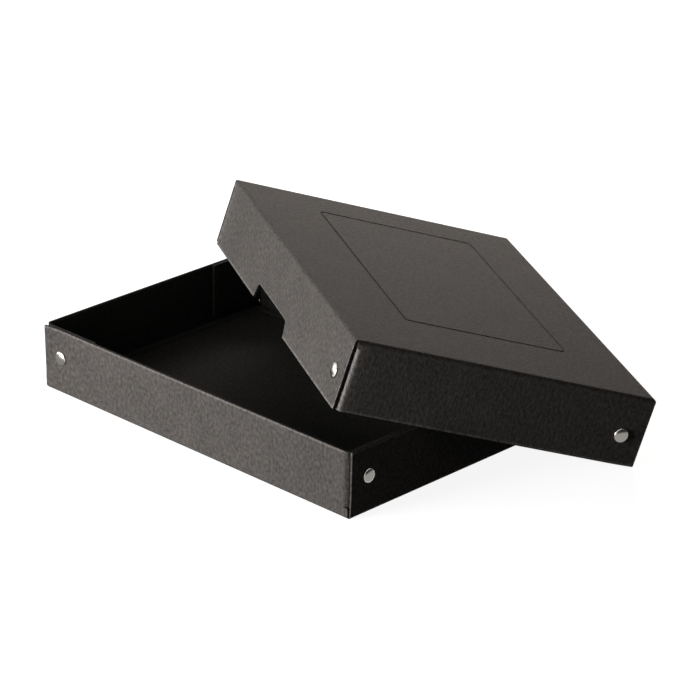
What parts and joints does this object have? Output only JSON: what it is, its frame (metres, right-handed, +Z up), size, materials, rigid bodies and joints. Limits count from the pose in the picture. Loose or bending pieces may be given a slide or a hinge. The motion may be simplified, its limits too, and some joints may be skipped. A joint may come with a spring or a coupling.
{
  "type": "paper storage box",
  "caption": "Shallow A4 storage box folded from dark paper-covered board with riveted corners and a loose full-depth lid that rests askew on the tray.",
  "frame": {"origin": "centre of the tray's underside", "axes": "+Z up, +X along the tray's long side, +Y along its short side towards the wall that the lid hangs over"},
  "size_m": [0.4128, 0.3876, 0.122],
  "materials": {
    "board": "matt, fine fibrous grain",
    "nickel": "polished nickel plate"
  },
  "bodies": {
    "tray": {"tray_board": "board", "tray_rivet_front": "nickel", "tray_rivet_right": "nickel", "tray_rivet_back": "nickel", "tray_rivet_left": "nickel", "tray_rivet_cap_front": "nickel", "tray_rivet_cap_right": "nickel", "tray_rivet_cap_back": "nickel", "tray_rivet_cap_left": "nickel"},
    "lid": {"lid_board": "board", "lid_rivet_front": "nickel", "lid_rivet_right": "nickel", "lid_rivet_back": "nickel", "lid_rivet_left": "nickel", "lid_rivet_cap_front": "nickel", "lid_rivet_cap_right": "nickel", "lid_rivet_cap_back": "nickel", "lid_rivet_cap_left": "nickel"}
  },
  "joints": [
    {"name": "lid_lift", "type": "slide", "parent": "tray", "child": "lid", "axis": [0, 0, 1], "range_m": [0, 0.15]}
  ]
}
